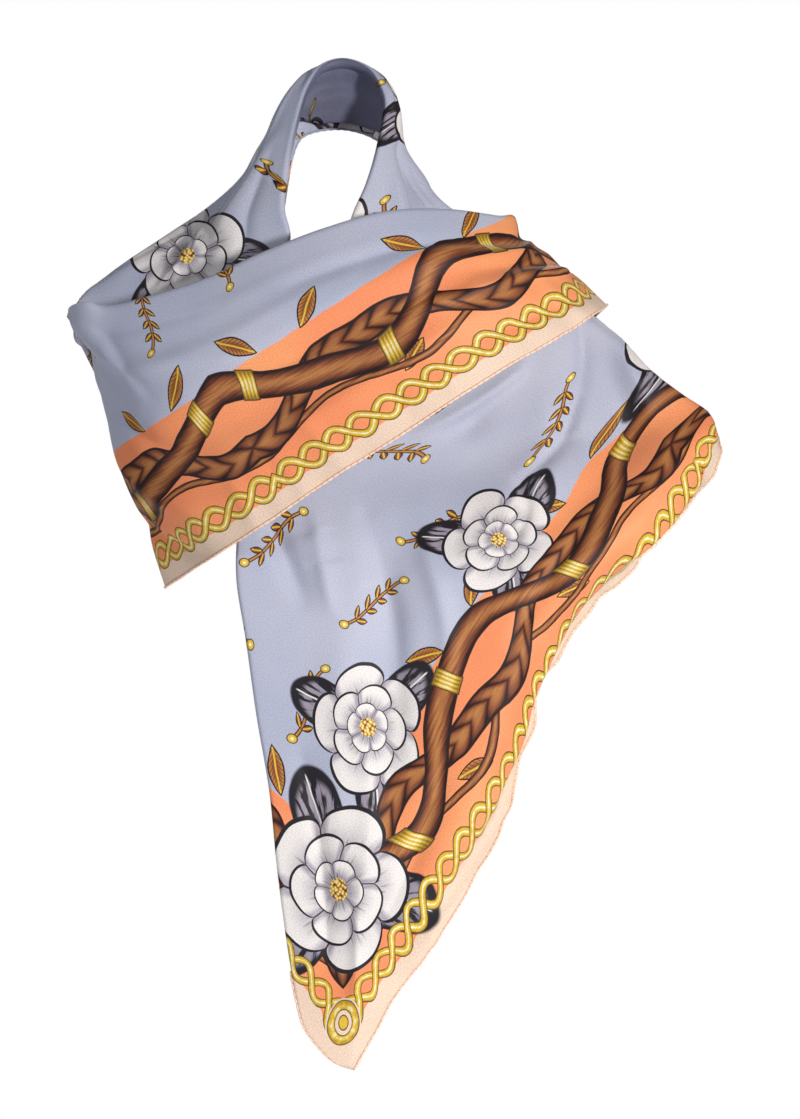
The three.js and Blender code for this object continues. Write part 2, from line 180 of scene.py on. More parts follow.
hanging_folds = [
    ("arm_2", 0.0, 0.80, "arm_2", 0.7, 0.67, 7, 9, 0.4),
    ("arm_2", 0.2, 0.72, "arm_1", 0.9, 0.76, 12, -5.8, 0),
    ("arm_3", 0.1, 0.57, "arm_1", 0.9, 0.63, 9, -8.1, 0.3),
    ("arm_1", 0.9, 0.63, "arm_0", 0.4, 0.71, 8, -8.1, -0.3),
    ("arm_0", 0.5, 0.71, "end_5", 0.9, 0.67, 9, -7.2, 0.3),
    ("arm_2", 0.6, 0.53, "arm_1", 0.3, 0.58, 10, 6.3, 0),
    ("arm_0", 0.1, 0.97, "end_5", 0.6, 0.92, 10, -9, 0),
    ("arm_0", 0.1, 0.925, "end_5", 0.4, 0.88, 9, 7.2, 0.2),
    ("arm_0", 0.1, 0.87, "end_3", 0.6, 0.72, 13, -7.2, -0.2),
    ("end_6", 0.5, 0.79, "end_4", 0.2, 0.66, 10, 6.3, 0),
    ("end_6", 0.2, 0.60, "end_4", 0.4, 0.56, 9, -6.3, 0.2),
    ("end_4", 0.2, 0.82, "end_1", 0.3, 0.72, 14, 5.8, 0),
    ("end_3", 0.4, 0.93, "corner_4", 0.3, 0.82, 9, -6.3, 0),
    ("end_3", 0, 0.62, "end_1", 0, 0.60, 11, -6.3, 0.2),
    ("end_1", 0.8, 0.75, "corner_3", 0, 0.6, 8, 5.4, 0),
    ("end_1", 0.2, 0.42, "corner_3", 0.4, 0.4, 8, -4.5, 0),
    ("end_5", 0.1, 0.12, "end_3", 0.1, 0.10, 13, -8.7, 0.2),
    ("end_4", 0.4, 0.28, "end_2", 0.2, 0.25, 11, 9, 0),
    ("end_2", 0.7, 0.10, "end_1", 0.2, 0.14, 11, -8.1, 0),
    ("end_1", 0.3, 0.04, "corner_4", 0.3, 0.12, 10, 7.2, 0),
    ("arm_0", 0.6, 0.44, "end_6", 0.3, 0.50, 8, -6.3, 0),
    ("arm_1", 0.1, 0.46, "arm_0", 0.1, 0.38, 9, 6.3, 0), ("end_6", 0.6, 0.22, "end_5", 0.5, 0.30, 11, 9, 0),
    ("end_6", 0.2, 0.06, "end_5", 0.6, 0.12, 10, -7.2, 0),
]
right_folds = [
    ("neck_2", 0.8, 0.63, "neck_1", 0.1, 0.74, 7, -8.7, 0.3),
    ("neck_3", 0, 0.55, "shoulder_2", 0.8, 0.65, 6, -6.5, 0.2),
    ("neck_2", 0.3, 0.50, "shoulder_2", 0.7, 0.58, 6, -5.1, 0),
    ("neck_2", 0.6, 0.57, "shoulder_2", 0.6, 0.69, 5, 3.6, 0),
    ("neck_1", 0.2, 0.53, "arm_3", 0.2, 0.47, 9, 5.1, 0),
    ("shoulder_2", 0, 0.50, "arm_2", 0.1, 0.52, 10, -5.8, 0),
    ("neck_2", 0, 0.82, "shoulder_1", 0.2, 0.80, 8, 4.3, 0),
    ("neck_1", 0.5, 0.90, "arm_3", 0.4, 0.90, 9, -4.3, 0),
    ("neck_3", 0, 0.30, "arm_3", 0.2, 0.32, 9, 7.2, 0),
    ("neck_2", 0.7, 0.20, "arm_2", 0.4, 0.20, 9, -8.7, 0.2),
    ("neck_2", 0.2, 0.10, "arm_2", 0.1, 0.10, 10, 8, 0),
    ("neck_1", 0.6, 0.42, "arm_3", 0, 0.43, 8, -6.5, 0),
    ("neck_1", 0.1, 0.02, "arm_3", 0.1, 0.03, 9, -5.8, 0),
    ("shoulder_1", 0.4, 0.36, "arm_1", 0.2, 0.42, 12, -5.5, 0),
    ("shoulder_1", 0, 0.26, "arm_1", 0.6, 0.28, 10, 6.5, 0.2),
    ("arm_3", 0.2, 0.14, "arm_0", 0.6, 0.16, 12, -5.5, 0),
    ("arm_2", 0.4, 0.07, "arm_0", 0.3, 0.24, 11, 7.2, 0),
]
neck_folds = [
    ("neck_3", 0, 0.12, "nape_5", 0.3, 0.14, 5, 2.2, 0),
    ("nape_1", 0, 0.24, "neck_4", 0, 0.27, 4.5, -2.4, 0), ("neck_3", 0.4, 0.36, "nape_4", 0, 0.33, 5, 2, 0),
    ("nape_1", 0.5, 0.44, "nape_5", 0, 0.42, 4, -1.9, 0),
    ("neck_3", 0.3, 0.64, "nape_2b", 0, 0.61, 4, -1.9, 0),
    ("nape_3b", 0.4, 0.66, "neck_4", 0.2, 0.64, 4.5, 1.9, 0),
    ("nape_2", 0, 0.83, "nape_4", 0, 0.85, 4, -1.6, 0),
    ("neck_3", 0.5, 0.86, "nape_2", 0.4, 0.84, 4, 1.8, 0),
]
left_folds = [
    ("neck_6", 0.2, 0.60, "shoulder_4", 0.2, 0.72, 6, 5.4, 0.5),
    ("neck_6", 0.4, 0.68, "shoulder_4", 0.3, 0.78, 11, -5.2, 0),
    ("neck_4", 0.3, 0.82, "shoulder_3", 0.4, 0.85, 8, -3.8, 0),
    ("neck_5", 0, 0.56, "arm_4", 0, 0.52, 9, -4.5, 0),
    ("neck_4", 0, 0.48, "shoulder_4", 0.2, 0.44, 8, 5.2, 0),
    ("neck_4", 0, 0.36, "arm_4", 0.2, 0.37, 9, -7.5, 0.2),
    ("neck_5", 0, 0.20, "arm_5", 0.2, 0.26, 10, -9, 0), ("neck_6", 0, 0.11, "arm_5", 0.6, 0.10, 10, 8.2, 0),
    ("neck_4", 0.4, 0.08, "shoulder_4", 0.4, 0.04, 8, -6.8, 0),
    ("shoulder_4", 0.3, 0.23, "arm_6", 0, 0.30, 13, 5.8, 0),
    ("arm_4", 0.5, 0.05, "front_0", 0.3, 0.12, 12, -5.8, 0),
    ("arm_4", 0.2, 0.42, "front_0", 0.2, 0.34, 11, -6, 0),
    ("shoulder_4", 0.6, 0.86, "arm_6", 0.2, 0.80, 8, -4.5, 0),
    ("shoulder_3", 0.7, 0.92, "arm_5", 0.3, 0.94, 7, 3.8, 0),
]
crossing_folds = [
    ("front_0", 0.3, 0.42, "front_3", 0, 0.16, 12, -5.6, 0),
    ("front_0", 0.5, 0.47, "front_4", 0, 0.36, 10, 6, 0.2),
    ("front_0", 0.2, 0.28, "front_2", 0.2, 0.08, 12, 5.6, 0),
    ("front_0", 0.3, 0.12, "front_2", 0, 0.0, 9, -5.1, 0),
    ("front_1", 0.6, 0.56, "front_2", 0.3, 0.35, 8, -4, 0.3),
    ("front_1", 0.3, 0.60, "front_4", 0, 0.55, 8, -2, 0),
    ("front_2", 0.3, 0.40, "front_6", 0, 0.43, 12, 4.2, 0),
    ("front_3", 0.2, 0.31, "front_7", 0.3, 0.29, 10, -5.1, 0.2),
    ("front_4", 0, 0.15, "front_8", 0, 0.19, 12, 3.5, 0),
    ("front_5", 0.2, 0.47, "front_9", 0, 0.45, 9, -4.2, 0),
    ("front_6", 0.5, 0.27, "back_1", 0.2, 0.22, 9, 5.4, 0.2),
    ("front_7", 0, 0.11, "front_9", 0.5, 0.08, 9, -4.2, 0),
    ("back_1", 0.4, 0.47, "front_8", 0, 0.36, 8, 5.1, 0),
    ("front_2", 0.8, 0.0, "front_2", 0.9, 0.17, 7, 3.1, 0),
    ("front_3", 0.5, 0.0, "front_3", 0.4, 0.15, 6, -2.7, 0),
    ("front_4", 0.3, 0.0, "front_4", 0.2, 0.18, 8, 2.7, 0),
    ("front_5", 0.4, 0.0, "front_5", 0.5, 0.13, 6, -2.5, 0),
    ("front_6", 0.2, 0.0, "front_6", 0.1, 0.16, 7, 2.7, 0),
    ("front_7", 0.5, 0.0, "front_7", 0.6, 0.14, 6, -2.7, 0),
    ("front_8", 0.6, 0.0, "front_8", 0.4, 0.2, 8, 3.7, 0),
    ("back_1", 0, 0.56, "back_5", 0, 0.52, 8, -7.6, 0), ("back_2", 0, 0.76, "back_5", 0, 0.70, 8, 6, 0),
    ("back_1", 0.5, 0.08, "back_4", 0.2, 0.10, 8, 6, 0),
    ("back_2", 0.4, 0.28, "back_5", 0, 0.24, 8, -6.8, 0.2),
    ("back_1", 0.1, 0.26, "front_9", 0.2, 0.20, 8, -5.1, 0),
]
every_fold = main_folds + hanging_folds + right_folds + neck_folds + left_folds + crossing_folds


def fold_lifts(points, place):
    """How far the folds lift each point of the plain cloth."""
    lift = np.zeros(place.shape)
    for start, on, start_share, end, on_end, end_share, width, height, lean in every_fold:
        first, last = row_at[start] + on, row_at[end] + on_end
        t = np.linspace(0, 1, 15)
        line = plain_cloth(first + (last - first) * t, start_share + (end_share - start_share) * t)
        near = (place > min(first, last) - 1) & (place < max(first, last) + 1)
        spots = points[near]
        best = np.full(len(spots), 1e9)
        best_t, side_of = np.zeros(len(spots)), np.zeros(len(spots))
        for n in range(14):
            run = line[n + 1] - line[n]
            off = spots - line[n]
            share = np.clip(off @ run / (run @ run), 0, 1)
            away_vector = off - share[:, None] * run
            away = np.linalg.norm(away_vector, axis=1)
            closer = away < best
            best[closer] = away[closer]
            best_t[closer] = ((n + share) / 14)[closer]
            flank = np.cross(run, away_vector) @ (line[n] - body_centre)
            side_of[closer] = np.sign(flank)[closer]
        fade = np.sin(math.pi * (0.08 + 0.84 * best_t)) ** 0.6
        # a line's one step beyond its rows fades too, so that no fold ends in a cliff
        outside = np.maximum(min(first, last) - place[near], place[near] - max(first, last))
        fade = fade * (1 - np.clip(outside, 0, 1) ** 2)
        crest = 1.45 if width < 10 else 1.8
        lift[near] += height * fade * np.exp(-(best / (width * (1 + lean * side_of))) ** crest)
    return lift


def hem_waves(place, from_hem):
    """The free hem's uneven waves, which die away into the cloth. Millimetres from the hem."""
    h = np.interp(place, fine_places, hem_run)
    wave = (np.sin(h / 9.7 + 1.3 * np.sin(h / 41)) + 0.8 * np.sin(h / 15.3 + 2 + np.sin(h / 67))
            + 0.5 * np.sin(h / 5.9 + 1.7 * np.sin(h / 23)))
    free = np.interp(place, [0, 2, 5, 10, 12, 17, 19, 30, 33, 36, 38, 45, 50],
                     [0.5, 1.2, 1.9, 1.9, 1.6, 1.5, 0, 0, 1.4, 1.0, 0.75, 0.8, 0.6])
    return wave * free * np.exp(-from_hem / 24)


# Where each point of the worn cloth lies on the flat square, so that the print, its border and the
# hem run over the folds as they do on real silk. Millimetres from the corner that hangs in front.
flat_side = 1000 * side
tip_turned = 8  # of the hem at each end, lost in the roll round the corner
fine_places = np.linspace(0, last_row, 20 * last_row + 1)
hem_run = np.concatenate([[0], np.cumsum(np.linalg.norm(np.diff(
    along_rows(hem_rows, fine_places), axis=0), axis=1))])
hem_run = tip_turned + hem_run * (2 * flat_side - 2 * tip_turned) / hem_run[-1]
fold_run = np.concatenate([[0], np.cumsum(np.linalg.norm(np.diff(
    along_rows(fold_rows, fine_places), axis=0), axis=1))])
# where the diagonal fold lies on the flat square: (row, along one side, along the other)
fold_marks = [("tip", 0, tip_turned), ("corner_3", 0, 81), ("shoulder_2", 536, 617), ("neck_1", 568, 649),
              ("nape_3", 715, 796), ("neck_5", 893, 764), ("front_0", 1045, 464)]
mark_run = [np.interp(row_at[name], fine_places, fold_run) for name, _, _ in fold_marks]
# how far the worn sections lean along the hem instead of straight in from it, as a cosine
hem_turn = np.sum(unit(along_rows(hem_rows, np.minimum(fine_places + 0.05, last_row))
                       - along_rows(hem_rows, np.maximum(fine_places - 0.05, 0)))
                  * unit(plain_cloth(fine_places, np.full(len(fine_places), 0.08))
                         - along_rows(hem_rows, fine_places)), axis=-1)
# a deep pleat runs down from either side of the neck and hides the cloth that is gathered there:
# (row, its share of the section)
pleat_marks = [("arm_1", 0.20), ("neck_2", 0.20), ("neck_3", -0.02), ("neck_4", -0.02), ("neck_5", 0.20),
               ("arm_5", 0.26), ("front_0", 0.28)]
pleat_rows = [row_at[name] for name, _ in pleat_marks]
pleat_shares = [mark for _, mark in pleat_marks]


def on_the_flat(place, hem_share, run, below_pleat):
    """The flat place of points at hem_share (0 to 1 and past it) of sections that are run long.

    Where the cloth is pleated it is measured in from the hem below the pleat, and from the fold above
    it. Elsewhere it is spread evenly from hem to fold."""
    h = np.interp(place, fine_places, hem_run)
    first_side = (h < flat_side)[..., None]
    hem = np.stack([np.minimum(h, flat_side), np.maximum(h - flat_side, 0)], -1)
    f_run = np.interp(place, fine_places, fold_run)
    fold = np.stack([np.interp(f_run, mark_run, [m[n] for m in fold_marks]) for n in (1, 2)], -1)
    crossing = np.clip((place - row_at["front_0"]) / 1.0, 0, 1)[..., None]
    straight = np.stack([flat_side - 1.05 * run, h - flat_side], -1)
    fold = fold * (1 - crossing) + straight * crossing
    toward, reach = unit(fold - hem), np.linalg.norm(fold - hem, axis=-1)
    evenly = hem + toward * (hem_share * run + np.minimum(hem_share, 1) * (reach - run))[..., None]
    turned = np.interp(place, fine_places, hem_turn)[..., None]
    along = np.where(first_side, [1.0, 0.0], [0.0, 1.0])
    inwards = np.where(first_side, [0.0, 1.0], [-1.0, 0.0])
    from_hem = hem + (along * turned + inwards * (1 - turned ** 2) ** 0.5) * (hem_share * run)[..., None]
    from_fold = fold + toward * ((hem_share - 1) * run)[..., None]
    pleated = np.clip((place - row_at["arm_0"]) / 2, 0, 1) * np.clip((row_at["front_0"] - place) / 3, 0, 1)
    pleated = (pleated * pleated * (3 - 2 * pleated))[..., None]
    return evenly * (1 - pleated) + (from_hem if below_pleat else from_fold) * pleated


def share_of(flat_share, place):
    """How far each point has come from the hem to the ridge: 0 at the hem, 1 from the ridge on."""
    hem, ridge, fold = (along_rows(rows, place) for rows in (hem_rows, ridge_rows, fold_rows))
    back = np.linalg.norm(ridge - hem, axis=1)
    front = np.linalg.norm(fold - ridge, axis=1)
    return np.clip(flat_share / (back / (back + front))[:, None], 0, 1)


def smoothed_panel(flat, cloth, place, past):
    """The left shoulder's front panel keeps the print in shape, and so does the cloth behind it."""
    start, end = row_at["neck_4"], row_at["arm_6"]
    weight = np.clip((place - start) / 2.0, 0, 1) * np.clip((end + 0.8 - place) / 2.2, 0, 1)
    weight = weight * weight * (3 - 2 * weight)
    seen = (weight > 0.6) & (past >= 1) & (cloth[..., 1] < -20)
    front = np.stack([cloth[..., 0], cloth[..., 2]], -1)
    mid_front, mid_flat = front[seen].mean(0), flat[seen].mean(0)
    u, _, vt = np.linalg.svd((front[seen] - mid_front).T @ (flat[seen] - mid_flat))
    laid = (front - mid_front) @ (u @ vt) * 1.05 + mid_flat
    # behind the ridge each section leaves the flat ridge line at the angle that it has in space
    rows, ridge_column = np.arange(len(place)), np.argmax(past >= 1, axis=1)
    ahead, back = np.minimum(rows + 9, rows[-1]), np.maximum(rows - 9, 0)
    flat_ridge, cloth_ridge = laid[rows, ridge_column], cloth[rows, ridge_column]
    flat_along = unit(flat_ridge[ahead] - flat_ridge[back])
    cloth_along = unit(cloth_ridge[ahead] - cloth_ridge[back])
    leaving = unit(cloth[rows, ridge_column - 12] - cloth_ridge)
    cosine = (cloth_along * leaving).sum(-1, keepdims=True)
    square = np.stack([-flat_along[:, 1], flat_along[:, 0]], -1)
    towards = (flat[rows, ridge_column - 12] - flat[rows, ridge_column]) * square
    square = square * np.sign(towards.sum(-1, keepdims=True))
    heading = flat_along * cosine + square * (1 - cosine ** 2) ** 0.5
    length = np.cumsum(np.linalg.norm(np.diff(cloth, axis=1, prepend=cloth[:, :1]), axis=2), axis=1)
    away = length[rows, ridge_column][:, None] - length
    behind = flat_ridge[:, None] + heading[:, None] * away[..., None]
    return flat + weight[..., None] * (np.where(past[..., None] < 1, behind, laid) - flat)


silk_thickness = 0.00035  # more than the real 0.12 mm, so that both faces stay clean
edges = {}  # each stretch's hem and fold edges, for the rolled hems


def lay_silk(name, first, last, row_step, outer_columns):
    """One stretch as a sheet: its outer face, the turn at the fold and the layer behind it."""
    turn_columns, under_columns = 8, 26
    span = fine_places[(fine_places >= first) & (fine_places <= last)]
    reach = np.max([np.linalg.norm(np.diff(along_rows(rows, span), axis=0), axis=1)
                    for rows in (hem_rows, ridge_rows, fold_rows)], axis=0)
    reach = np.concatenate([[0], np.cumsum(reach)])
    rows = int(round(reach[-1] / row_step))
    place = np.interp(np.linspace(0, reach[-1], rows + 1), reach, span)
    # even columns along each section
    probe = np.linspace(0, 1, 97)
    probe_place, probe_share = np.meshgrid(place, probe, indexing="ij")
    path = plain_cloth(probe_place, probe_share)
    lengths = np.linalg.norm(np.diff(path, axis=1), axis=2)
    lengths = np.concatenate([np.zeros((rows + 1, 1)), np.cumsum(lengths, axis=1)], axis=1)
    run = lengths[:, -1]
    even = np.linspace(0, 1, outer_columns + 1)
    share = np.array([np.interp(even * run[j], lengths[j], probe) for j in range(rows + 1)])
    under = between_rows(unders, place)
    back = 1 - under[:, None] * np.arange(1, under_columns + 1) / under_columns
    share = np.concatenate([share, back], axis=1)
    grid_place = np.repeat(place[:, None], share.shape[1], axis=1)
    points = plain_cloth(grid_place, share)
    normals = outward(grid_place, share)
    no_hem_near = np.full(back.shape, 1000.0)
    from_hem = np.concatenate([even * run[:, None], no_hem_near], axis=1)
    lift = fold_lifts(points, grid_place) + hem_waves(grid_place, from_hem)
    points = points + normals * lift[..., None]
    # at the left edge, where the two stretches meet, the fold is pressed flat
    gap = between_rows(gaps, place) * np.clip(np.abs(place - row_at["front_0"] + 0.4) / 1.6, 0.2, 1)
    outer, behind = points[:, :outer_columns + 1], points[:, outer_columns + 1:]
    behind = behind - normals[:, outer_columns + 1:] * gap[:, None, None]
    end = outer[:, -1]
    tangent = unit(end - outer[:, -2])
    inward = -normals[:, outer_columns]
    turn = []
    for n in range(1, turn_columns + 1):
        angle = math.pi * n / turn_columns
        turn.append(end + inward * (gap * (1 - math.cos(angle)) / 2)[:, None]
                    + tangent * (gap * math.sin(angle) / 2)[:, None])
    cloth = np.concatenate([outer, np.stack(turn, 1), behind], axis=1) / 1000
    # the flat square under it
    back_run = np.array([1 - np.interp(back[j], probe, lengths[j] / run[j]) for j in range(rows + 1)])
    turn_run = (gap / run)[:, None] * np.arange(1, turn_columns + 1) / turn_columns * 1.5
    flat_share = np.concatenate([np.repeat(even[None], rows + 1, axis=0), 1 + turn_run,
                                 1 + turn_run[:, -1:] + back_run], axis=1)
    flat_place = np.repeat(place[:, None], flat_share.shape[1], axis=1)
    flat_run = np.repeat(run[:, None], flat_share.shape[1], axis=1)
    flat = on_the_flat(flat_place, flat_share, flat_run, False)
    flat_below = on_the_flat(flat_place, flat_share, flat_run, True)
    if name == "silk_wrap":
        flat = smoothed_panel(flat, cloth * 1000, flat_place, share_of(flat_share, place))
    columns = cloth.shape[1] - 1
    pleat_at = np.interp(place, pleat_rows, pleat_shares, left=-1, right=-1)
    edges[name] = (place, cloth[:, 0], unit(cloth[:, 0] - cloth[:, 1]), normals[:, 0],
                   cloth[:, outer_columns + turn_columns // 2], unit(tangent), -inward)

    bm = bmesh.new()
    bmesh.ops.create_grid(bm, x_segments=columns, y_segments=rows, size=0.5)
    spots = [(round((v.co.x + 0.5) * columns), round((v.co.y + 0.5) * rows)) for v in bm.verts]
    print_layer = bm.loops.layers.uv.new("print")
    # painted shade: how strongly the face inside the neck band is darkened in colour, for the shadow that
    # falls there
    band_painted_shade_layer = bm.verts.layers.float.new("inner")
    band_shade_weight = (np.clip((place - row_at["neck_2"]) / 2, 0, 1)
               * np.clip((row_at["neck_5"] - place) / 2, 0, 1))
    spot_of = dict(zip(bm.verts, spots))
    for face in bm.faces:
        i, j = (min(spot_of[v][n] for v in face.verts) for n in (0, 1))
        below = i < outer_columns and share[j:j + 2, i:i + 2].mean() < pleat_at[j]
        for loop in face.loops:
            i, j = spot_of[loop.vert]
            loop[print_layer].uv = (flat_below if below else flat)[j, i] / flat_side
    for v, (i, j) in zip(bm.verts, spots):
        v.co = cloth[j, i]
        v[band_painted_shade_layer] = band_shade_weight[j] * (i > outer_columns + 2)
    bmesh.ops.reverse_faces(bm, faces=bm.faces)
    mesh = bpy.data.meshes.new(name)
    bm.to_mesh(mesh)
    bm.free()
    mesh.shade_smooth()
    piece = bpy.data.objects.new(name, mesh)
    bpy.context.scene.collection.objects.link(piece)
    shell = piece.modifiers.new("thickness", "SOLIDIFY")
    shell.thickness, shell.offset = silk_thickness, 0
    return piece


# The print is acid dyes screened on white twill: a peach margin, a twisted gold cord, an orange band
# under two brown vines with gold ties and leaves, and a blue-grey field with large blossoms drawn in
# ink. The drawing is the builder's own. It is worked out from the flat square's millimetres.


class Tone:
    """One socket of a material. Sums and products of tones and numbers add Math nodes."""

    def __init__(self, finish, socket):
        self.finish, self.socket = finish, socket

    def math(self, operation, *values):
        return self.finish.node("ShaderNodeMath", {"operation": operation}, dict(enumerate(values)))

    def __add__(self, other):
        return self.math("ADD", self, other)

    def __sub__(self, other):
        return self.math("SUBTRACT", self, other)

    def __rsub__(self, other):
        return self.math("SUBTRACT", other, self)

    def __mul__(self, other):
        return self.math("MULTIPLY", self, other)

    def __truediv__(self, other):
        return self.math("DIVIDE", self, other)

    def __rtruediv__(self, other):
        return self.math("DIVIDE", other, self)

    def __pow__(self, other):
        return self.math("POWER", self, other)

    def __mod__(self, other):
        return self.math("FLOORED_MODULO", self, other)

    def __abs__(self):
        return self.math("ABSOLUTE", self)

    def __neg__(self):
        return self * -1

    __radd__, __rmul__ = __add__, __mul__

    def sin(self):
        return self.math("SINE", self)

    def cos(self):
        return self.math("COSINE", self)

    def least(self, other):
        return self.math("MINIMUM", self, other)

    def most(self, other):
        return self.math("MAXIMUM", self, other)

    def below(self, edge, soft):
        """1 where the tone is under the edge, with a soft step."""
        return self.finish.node("ShaderNodeMapRange", {"interpolation_type": "SMOOTHSTEP"},
                                {0: self, 1: edge - soft, 2: edge + soft, 3: 1.0, 4: 0.0})

    def ramp(self, *stops):
        return self.finish.node("ShaderNodeValToRGB", {"stops": stops}, {0: self})

    def vector(self, operation, other, output=0):
        key = 3 if operation == "SCALE" else 1
        return self.finish.node("ShaderNodeVectorMath", {"operation": operation},
                                {0: self, key: other}, output)

    def parts(self):
        split = self.finish.node("ShaderNodeSeparateXYZ", {}, {0: self})
        return split, split.also(1)

    def also(self, output):
        """Another output of the node that made this tone."""
        return Tone(self.finish, self.socket.node.outputs[output])


class Finish:
    """A material made from nodes."""

    def __init__(self, name, roughness, sheen, specular=0.5):
        self.material = bpy.data.materials.new(name)
        self.material.use_nodes = True
        self.tree = self.material.node_tree
        self.shader = self.tree.nodes["Principled BSDF"]
        for socket, value in (("Roughness", roughness), ("Sheen Weight", sheen),
                              ("Sheen Roughness", 0.4), ("Specular IOR Level", specular)):
            self.shader.inputs[socket].default_value = value

    def node(self, kind, settings, inputs, output=0):
        made = self.tree.nodes.new(kind)
        for name, value in settings.items():
            if name == "stops":
                stops = made.color_ramp.elements
                while len(stops) < len(value):
                    stops.new(1.0)
                for stop, (position, colour) in zip(stops, value):
                    stop.position, stop.color = position, colour
            else:
                setattr(made, name, value)
        for key, value in inputs.items():
            if isinstance(value, Tone):
                self.tree.links.new(value.socket, made.inputs[key])
            else:
                made.inputs[key].default_value = value
        return Tone(self, made.outputs[output])

    def noise(self, where, scale, detail=2.0, output=0):
        return self.node("ShaderNodeTexNoise", {}, {"Vector": where, "Scale": scale,
                                                    "Detail": detail}, output)

    def join(self, x, y):
        return self.node("ShaderNodeCombineXYZ", {}, {0: x, 1: y})

    def over(self, ground, colour, mask):
        """A colour laid over the ground where the mask is 1."""
        return self.node("ShaderNodeMix", {"data_type": "RGBA"}, {0: mask, 6: ground, 7: colour}, 2)

    def shaded(self, ground, shade, mask):
        """The ground times a shade where the mask is 1."""
        dark = self.node("ShaderNodeMix", {"data_type": "RGBA", "blend_type": "MULTIPLY"},
                         {0: 1.0, 6: ground, 7: shade}, 2)
        return self.over(ground, dark, mask)

    def wear(self, socket, tone):
        self.tree.links.new(tone.socket, self.shader.inputs[socket])


def dye(code):
    """A dye's linear colour from its six-digit shade."""
    parts = [int(code[n:n + 2], 16) / 255 for n in (0, 2, 4)]
    return (*(p / 12.92 if p <= 0.04045 else ((p + 0.055) / 1.055) ** 2.4 for p in parts), 1.0)


peach, orange, field_blue = dye("ECD0B9"), dye("FAA46C"), dye("BCBECF")
ink, paper, lilac_grey = dye("1D1820"), dye("E9E3E0"), dye("9B93A0")
gold, gold_glint, gold_edge = dye("E0BA3C"), dye("F6F0CC"), dye("4E3A1C")
bark, bark_light, bark_edge = dye("8A4A28"), dye("BE7F3E"), dye("241010")

print_silk = Finish("printed_silk", 0.58, 0.08, 0.28)
flat_mm = print_silk.node("ShaderNodeUVMap", {"uv_map": "print"}, {}).vector("SCALE", flat_side)
wobble = print_silk.noise(flat_mm, 0.02, 2.0, 1).vector("SUBTRACT", (0.5, 0.5, 0.5))
drawn = flat_mm.vector("ADD", wobble.vector("SCALE", 7.0))
u, v = drawn.parts()
x = u.least(flat_side - u)
y = v.least(flat_side - v)
depth = x.least(y)  # in from the nearest hem
run = x.most(y)  # along it, from the nearest corner
turn = 2 * math.pi

# ground: peach margin, orange band, field
cloud = print_silk.noise(flat_mm, 0.006, 3.0)
field = print_silk.over(field_blue, dye("A7ADC4"), cloud.below(0.5, 0.16) * 0.6)
band = print_silk.over(orange, dye("F0835A"), cloud.below(0.52, 0.2) * 0.7)
ground = print_silk.over(field, band, depth.below(146, 0.5))
ground = print_silk.over(ground, peach, depth.below(18.5, 0.4))


seeds = print_silk.node("ShaderNodeTexVoronoi", {"voronoi_dimensions": "2D"},
                        {"Vector": flat_mm, "Scale": 0.3, "Randomness": 0.7})


def leaf(q, r, lean, length, width):
    """Under 1 inside a pointed leaf; the distance from its midrib; and the place along it."""
    c, s = math.cos(lean), math.sin(lean)
    p, w = q * c + r * s, r * c - q * s
    return abs(w) / width + (p / length) ** 2, abs(w), p


def bloom(ground, px, py, size, spin):
    """A blossom in ink on white, three rings of five petals round its seeds, with three dark leaves."""
    radius = (px * px + py * py) ** 0.5
    angle = py.math("ARCTAN2", py, px) + spin
    inked = print_silk.noise(print_silk.join(angle * 5.5, radius * 0.012), 2.2, 4.0)
    spray = abs((angle * 1.5 + 0.9).cos()) ** 2.4
    spray_at = radius / (size * 1.42 * spray + 4)
    spray_line = abs((angle * 1.5 + 0.9).sin()) * radius
    art = print_silk.over(ground, ink, spray_at.below(1.0, 0.02))
    art = print_silk.over(art, lilac_grey, spray_at.below(0.86, 0.05) * inked.below(0.52, 0.04))
    art = print_silk.over(art, paper, spray_line.below(1.2, 0.5) * spray_at.below(0.92, 0.02))
    for share, turned, deep in ((1.0, 0.0, 0.30), (0.66, math.pi / 5, 0.26), (0.36, 0.3, 0.2)):
        swirl = angle + turned + radius * 0.006
        lobe = abs((swirl * 2.5).cos())
        at = radius / (lobe ** 0.5 * (size * share * deep) + size * (share * (1 - deep)))
        cleft = lobe * radius / size
        shadow = (at.below(0.62, 0.25) + lobe.below(0.34, 0.2)).least(1) * (inked * 1.5 + 0.1).least(1)
        petal = print_silk.over(paper, lilac_grey, shadow)
        petal = print_silk.over(petal, ink, inked.below(0.42, 0.03) * at.below(0.6, 0.22))
        petal = print_silk.over(petal, ink, cleft.below(0.03 * share, 0.014))
        petal = print_silk.over(petal, ink, at.math("COMPARE", at, 0.985, 0.028))
        art = print_silk.over(art, petal, at.below(1.01, 0.006))
    heart = seeds.ramp((0.0, gold_glint), (0.35, gold), (0.6, bark), (0.8, bark_edge))
    art = print_silk.over(art, heart, (radius / size).below(0.13, 0.008))
    return art


def field_of(spot, shift, scale, loose):
    """A loose net of cells: the place in each cell, its two chances, and its heart's depth."""
    moved = spot.vector("ADD", shift)
    net = print_silk.node("ShaderNodeTexVoronoi", {"voronoi_dimensions": "2D"},
                          {"Vector": moved, "Scale": 1 / scale, "Randomness": loose})
    px, py = moved.vector("SUBTRACT", net.also(2)).parts()
    chance, chance_2 = net.also(1).parts()
    hu, hv = net.also(2).vector("SUBTRACT", shift).parts()
    heart = hu.least(flat_side - hu).least(hv.least(flat_side - hv))
    return px, py, chance, chance_2, heart


